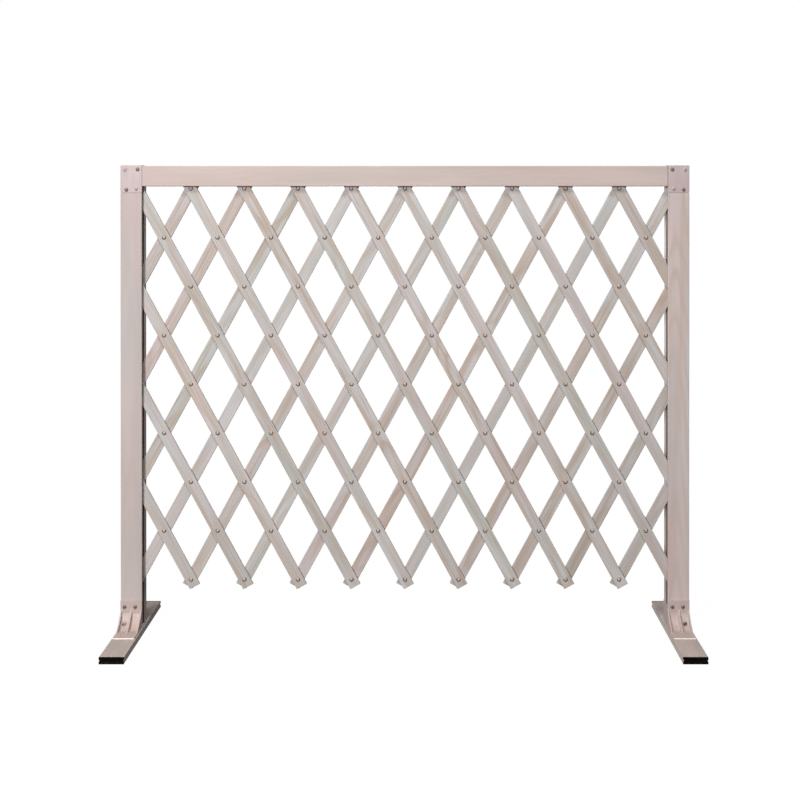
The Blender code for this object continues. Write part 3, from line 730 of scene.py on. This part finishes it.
def carve(piece, tool, operation):
    """Joins a solid to a piece, or cuts it out, and takes the solid away."""
    add_modifier(piece, "BOOLEAN", operation=operation, solver="EXACT", object=tool)
    bpy.data.objects.remove(tool, do_unlink=True)


def add_block(name, low, high):
    """A block between two corners, for carving."""
    block = add_section(name, "Z", low, (high[0], high[1], low[2]))
    draw_out((0, 0, high[2] - low[2]))
    return block


screw_steel = browned_steel("screw_steel", linear(112, 95, 90), linear(150, 132, 125), roughness=0.42)
screw_worn = browned_steel("screw_worn", linear(172, 145, 134), linear(206, 182, 170), roughness=0.45)
screw_stain = stained_metal("screw_stain", linear(202, 182, 180), linear(178, 158, 155))
first_screw = add_turned("left_cap_screw_1_head", SCREW_PROFILE, (0, 0, 0), sides=28)
for wide, high in ((CROSS_LENGTH, CROSS_WIDTH), (CROSS_WIDTH, CROSS_LENGTH)):
    corner = Vector((wide / 2, 0.0, high / 2))
    near, far = Vector((0, -HEAD_HEIGHT - CUT_CLEAR, 0)), Vector((0, CROSS_DEPTH - HEAD_HEIGHT, 0))
    carve(first_screw, add_block("cross", near - corner, far + corner), "DIFFERENCE")
take_up(first_screw)
bpy.ops.object.shade_smooth_by_angle(angle=SCREW_CREASE)

draw = random.Random(SCREW_SEED)
for hand in SIDES:
    for group, count in (("cap", 4), ("shoe", 3)):
        for number in range(1, count + 1):
            node = hand + "_" + group + "_screw_" + str(number)
            low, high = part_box(node)
            middle = (low + high) / 2
            place = Vector((middle.x, low.y + HEAD_HEIGHT - HEAD_PROUD, middle.z))
            screw = add_copy(first_screw, node + "_head", Vector(), place, draw.uniform(0, math.pi / 2))
            hidden = group == "cap" and number in (1, 4)
            bare = screw_worn if (hand, group, number) == ("left", "shoe", 3) else screw_steel
            screw.data.materials.append(screw_stain if hidden else bare)
            hand_over(screw, "frame", "stained_screw" if hidden else "dark_screw", node)
bpy.data.objects.remove(first_screw, do_unlink=True)


# Post shoes: one satin moulding under and in front of each post. Its plate sweeps down into a web and a
# long flat toe, with two edge ribs and a middle rib, and the low screw sits in a round seat in the web. The
# toe ends in a rounded nose, painted near-white along its edge as a painted highlight.

SHOE_WALL = 0.0025
RIB_SWEEP = (0.045, 0.036)
WEB_SWEEP = (0.032, 0.030)
RIB_HOLLOW, WEB_HOLLOW = 1.25, 1.5
SWEEP_STEPS = 16
EDGE_RIB, MIDDLE_RIB = 0.003, 0.004
RIB_INSET = 0.0002
RIB_ROOT = 0.0012
NOSE = 0.0019
CHEEK = 0.001
CHEEK_HEIGHT = 0.047
SEAT_RADIUS = 0.0047
# How far back and how high the painted highlight on the nose reaches.
HIGHLIGHT_REACH, HIGHLIGHT_RISE = 0.8 * NOSE, 0.0003
MOULDING_SEED = 5
CARVED_CREASE = math.radians(40)
SHOE_ROUNDING, RIB_ROUNDING, CHEEK_ROUNDING = 0.0005, 0.0007, 0.00025


def arc(centre, radius, start, end, steps):
    """Points along part of a circle, with angles in degrees."""
    turns = [math.radians(start + (end - start) * i / steps) for i in range(steps + 1)]
    return [(centre[0] + radius * math.cos(t), centre[1] + radius * math.sin(t)) for t in turns]


def sweep(front, floor, size, hollow):
    """A hollow curve from the plate down to the toe, as (y, z) points. Its size is reach and rise."""
    parts = [i / SWEEP_STEPS for i in range(SWEEP_STEPS + 1)]
    out = [size[0] * part ** hollow for part in parts]
    up = [size[1] * (1 - part) ** hollow for part in parts]
    return [(front - o, floor + u) for o, u in zip(out, up)]


def draw_solid(name, outline, axis, low, high):
    """Fills an outline and draws it out along X or Y from low to high. Its points are in the other two."""
    place = {"X": lambda a, b: (low, a, b), "Y": lambda a, b: (a, low, b)}[axis]
    solid = draw_line(name, [place(a, b) for a, b in outline])
    bpy.ops.mesh.select_all(action="SELECT")
    bpy.ops.mesh.edge_face_add()
    draw_out((high - low, 0, 0) if axis == "X" else (0, high - low, 0))
    return solid


def level_shading(piece):
    """Shades a carved piece smooth, with its flat faces flat."""
    take_up(piece)
    bpy.ops.mesh.customdata_custom_splitnormals_clear()
    bpy.ops.object.shade_smooth_by_angle(angle=CARVED_CREASE)
    add_modifier(piece, "WEIGHTED_NORMAL", weight=60, keep_sharp=True)


def moulded(name, seed):
    """Satin moulding in the colour of the wood, with a fine grain from its tool."""
    plastic, shader, place = new_finish(name, roughness=0.5)
    place = moved(place, (seed, seed, seed))
    broad = patches(place, (45, 45, 45), 0.38, 0.66)
    spots = patches(place, (160, 160, 160), 0.38, 0.66)
    colour = blend(linear(200, 183, 178), linear(202, 176, 168), broad)
    blend(colour, linear(188, 174, 168), spots * 0.6).to(shader.inputs["Base Color"])
    grain = cloud(place, (1400, 1400, 1400), detail=1.0)
    (0.46 + 0.10 * spots + 0.08 * grain).to(shader.inputs["Roughness"])
    raise_relief(shader, grain, strength=0.15, depth=0.0002)
    return plastic


# The nose's near-white colour is a painted highlight along the toe's front edge.
painted_highlight_nose = stained_metal("painted_highlight_nose", linear(250, 236, 228), linear(236, 218, 208), roughness=0.35)
for hand, side in SIDES.items():
    low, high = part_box(hand + "_shoe")
    post_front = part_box(hand + "_post")[0].y
    front = post_front - PIECE_GAP - SHOE_WALL
    floor_top = low.z + SHOE_WALL
    nose = arc((low.y + NOSE, low.z + SHOE_WALL - NOSE), NOSE, 180, 90, steps=4)
    outline = [(low.y, low.z), *nose, *reversed(sweep(front, floor_top, WEB_SWEEP, WEB_HOLLOW))]
    outline.append((front, high.z))
    outline += [(front + SHOE_WALL, high.z), (front + SHOE_WALL, floor_top), (high.y, floor_top)]
    outline.append((high.y, low.z))
    shoe = draw_solid(hand + "_shoe_moulding", outline, "X", low.x, high.x)
    round_edges(shoe, SHOE_ROUNDING, segments=2)
    reach, rise = RIB_SWEEP
    rib = sweep(front, floor_top, RIB_SWEEP, RIB_HOLLOW)
    rib += [(front - reach, floor_top - RIB_ROOT), (front + RIB_ROOT, floor_top - RIB_ROOT)]
    rib.append((front + RIB_ROOT, floor_top + rise))
    middle = sum(corner.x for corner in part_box(hand + "_foot")) / 2
    places = [
        (low.x + RIB_INSET, low.x + RIB_INSET + EDGE_RIB),
        (middle - MIDDLE_RIB / 2, middle + MIDDLE_RIB / 2),
        (high.x - RIB_INSET - EDGE_RIB, high.x - RIB_INSET),
    ]
    for near, far in places:
        wall = draw_solid("rib", rib, "X", near, far)
        round_edges(wall, RIB_ROUNDING, segments=2)
        carve(shoe, wall, "UNION")

    # Only the right shoe has a low cheek beside its post, on the inner side.
    if side > 0:
        corner = (low.x + RIB_INSET, front + SHOE_WALL / 2, floor_top - RIB_ROOT)
        cheek = add_block("cheek", corner, (low.x + CHEEK, high.y - RIB_INSET, low.z + CHEEK_HEIGHT))
        round_edges(cheek, CHEEK_ROUNDING, segments=2)
        carve(shoe, cheek, "UNION")

    screw_low, screw_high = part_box(hand + "_shoe_screw_3")
    seat = screw_low.y + HEAD_HEIGHT
    middle = (screw_low + screw_high) / 2
    bore = [(0.0, seat), (SEAT_RADIUS, seat), (SEAT_RADIUS, low.y), (0.0, low.y)]
    carve(shoe, add_turned("seat", bore, (middle.x, 0, middle.z), sides=28), "DIFFERENCE")
    shoe.data.materials.clear()
    shoe.data.materials.append(moulded(hand + "_shoe_finish", MOULDING_SEED + side))
    level_shading(shoe)
    finish_faces(shoe, painted_highlight_nose, lambda c: c.y < low.y + HIGHLIGHT_REACH and c.z > low.z + HIGHLIGHT_RISE)
    hand_over(shoe, "frame", "moulded_shoe", hand + "_shoe")


# Feet: flat hollow profiles that run front to back, with a notch along each side. They are stained like
# the posts, with the streaks along their length. Underneath is the hole through which the bolt is turned.

FOOT_NOTCH = 0.002
FOOT_ROUNDING = 0.0009
ACCESS_RADIUS = 0.0075
ACCESS_TOP = 0.0113
FOOT_SEEDS = {"left": 52, "right": 63}
FOOT_STAIN = {
    "pale": linear(207, 193, 187),
    "pink": linear(205, 184, 177),
    "tan": linear(196, 177, 164),
    "grey": linear(188, 178, 172),
}


def notched_outline(low, high):
    """The section of a foot, as (x, z) points, with a notch half-way up each side."""
    middle, centre = (low.z + high.z) / 2, (low.x + high.x) / 2
    half = (high.x - low.x) / 2
    right = [(half, low.z), (half, middle - FOOT_NOTCH), (half - FOOT_NOTCH, middle)]
    right += [(half, middle + FOOT_NOTCH), (half, high.z)]
    left = [(-x, z) for x, z in reversed(right)]
    return [(centre + x, z) for x, z in right + left]


for hand in SIDES:
    low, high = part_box(hand + "_foot")
    foot = draw_solid(hand + "_foot_profile", notched_outline(low, high), "Y", low.y, high.y)
    round_edges(foot, FOOT_ROUNDING)
    bolt_low, bolt_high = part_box(hand + "_foot_bolt")
    bolt = (bolt_low + bolt_high) / 2
    bpy.ops.object.select_all(action="DESELECT")
    bpy.ops.mesh.primitive_cylinder_add(
        vertices=32, radius=ACCESS_RADIUS, depth=2 * ACCESS_TOP, location=(bolt.x, bolt.y, 0)
    )
    carve(foot, bpy.context.object, "DIFFERENCE")
    foot.data.materials.clear()
    foot.data.materials.append(stained_wood(
        hand + "_foot_stain", (math.pi / 2, 0, 0), (low + high) / 2, FOOT_STAIN,
        FOOT_SEEDS[hand], fine=1.2, figure=0.2, tone=1.02, gloss=0.46,
    ))
    level_shading(foot)
    hand_over(foot, "frame", "coated_foot", hand + "_foot")


# End caps: a black plastic plug closes each end of each foot. Its face has the outline of the profile,
# rounded edges and a shallow sunk panel.

PANEL_BORDER = 0.0028
PANEL_SLOPE = 0.0003
PANEL_SINK = 0.0006
PLUG_ROUNDING = 0.00045

black_plastic, shader, place = new_finish("black_plastic", roughness=0.42, sheen=0.08)
dust = patches(place, (130, 130, 130), 0.45, 0.8)
blend(linear(7, 4, 4), linear(16, 12, 12), dust).to(shader.inputs["Base Color"])
grain = cloud(place, (1200, 1200, 1200), detail=1.0)
(0.38 + 0.12 * dust + 0.10 * grain).to(shader.inputs["Roughness"])
raise_relief(shader, grain, strength=0.2, depth=0.0002)

for hand in SIDES:
    foot_low, foot_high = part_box(hand + "_foot")
    for end, direction in (("front", -1), ("back", 1)):
        node = hand + "_foot_" + end + "_cap"
        low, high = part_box(node)
        face = low.y if direction < 0 else high.y
        seat = direction * (foot_high.y + PIECE_GAP)
        cap = draw_solid(node + "_plug", notched_outline(foot_low, foot_high), "Y", seat, face)
        bpy.ops.object.mode_set(mode="EDIT")
        pick_faces(cap, lambda c: abs(c.y - face) < HAIR)
        bpy.ops.mesh.inset(thickness=PANEL_BORDER)
        bpy.ops.mesh.inset(thickness=PANEL_SLOPE, depth=-PANEL_SINK)
        bpy.ops.object.mode_set(mode="OBJECT")
        round_edges(cap, PLUG_ROUNDING)
        cap.data.materials.append(black_plastic)
        hand_over(cap, "frame", "black_end_cap", node)


# Foot bolts: zinc-plated, up through each foot and shoe into the end of the post. Only their heads show,
# from below, so their solids stay as they are.

zinc, shader, place = new_finish("bolt_zinc", roughness=0.34, metallic=0.9)
dull = patches(place, (260, 260, 260), 0.4, 0.7)
blend(linear(196, 196, 190), linear(158, 156, 148), dull).to(shader.inputs["Base Color"])
(0.30 + 0.25 * dull).to(shader.inputs["Roughness"])
for hand in SIDES:
    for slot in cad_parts[hand + "_foot_bolt"].material_slots:
        slot.material = zinc
